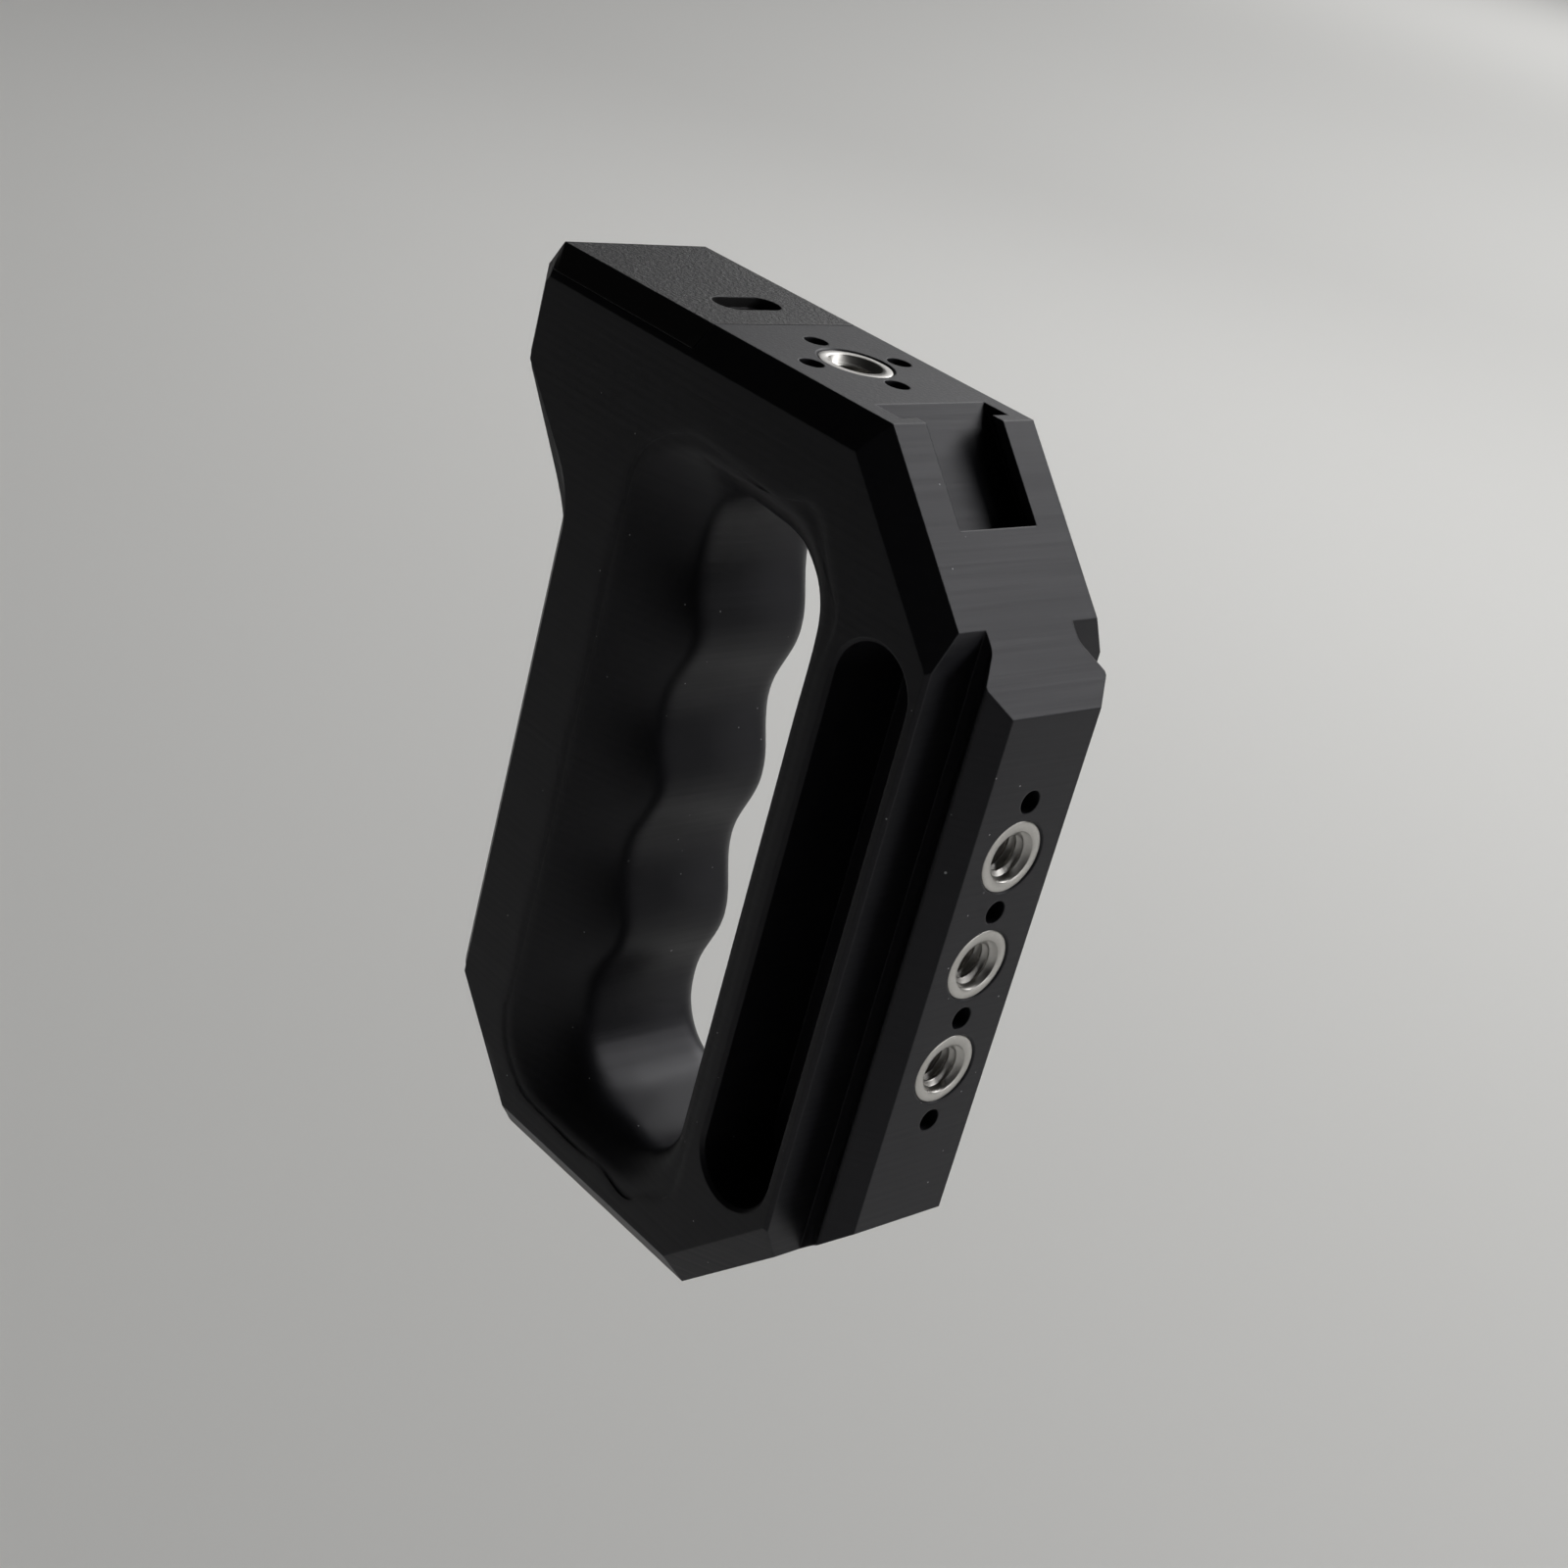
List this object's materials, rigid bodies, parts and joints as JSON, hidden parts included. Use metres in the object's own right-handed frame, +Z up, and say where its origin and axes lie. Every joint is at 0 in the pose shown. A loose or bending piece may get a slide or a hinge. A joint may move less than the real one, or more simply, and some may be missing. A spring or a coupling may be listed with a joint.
{
  "type": "camera side handle",
  "caption": "Printed side handle for a camera rig, with a finger-grooved grip, an accessory rail with threaded inserts, a cold shoe and a sliding compartment lid.",
  "frame": {"origin": "on the front land of the accessory rail, on the axis of the middle threaded insert", "axes": "+X forward out of the rail's land, +Y to the handle's far side, +Z up along the rail"},
  "size_m": [0.0928, 0.031, 0.1211],
  "materials": {
    "printed_body": "matte black 3D-printed plastic with fine layer lines",
    "printed_lid": "matte dark grey 3D-printed plastic with a coarse build-plate texture",
    "insert_metal": "bright stainless steel",
    "magnet_metal": "nickel plated"
  },
  "bodies": {
    "handle": {"handle_body": "printed_body", "top_insert": "insert_metal", "rail_insert_upper": "insert_metal", "rail_insert_middle": "insert_metal", "rail_insert_lower": "insert_metal", "body_magnet_near": "magnet_metal", "body_magnet_far": "magnet_metal"},
    "lid": {"compartment_lid": "printed_lid", "lid_magnet_near": "magnet_metal", "lid_magnet_far": "magnet_metal"}
  },
  "joints": [
    {"name": "lid_slide", "type": "slide", "parent": "handle", "child": "lid", "axis": [-1, 0, 0], "range_m": [0, 0.026]}
  ]
}
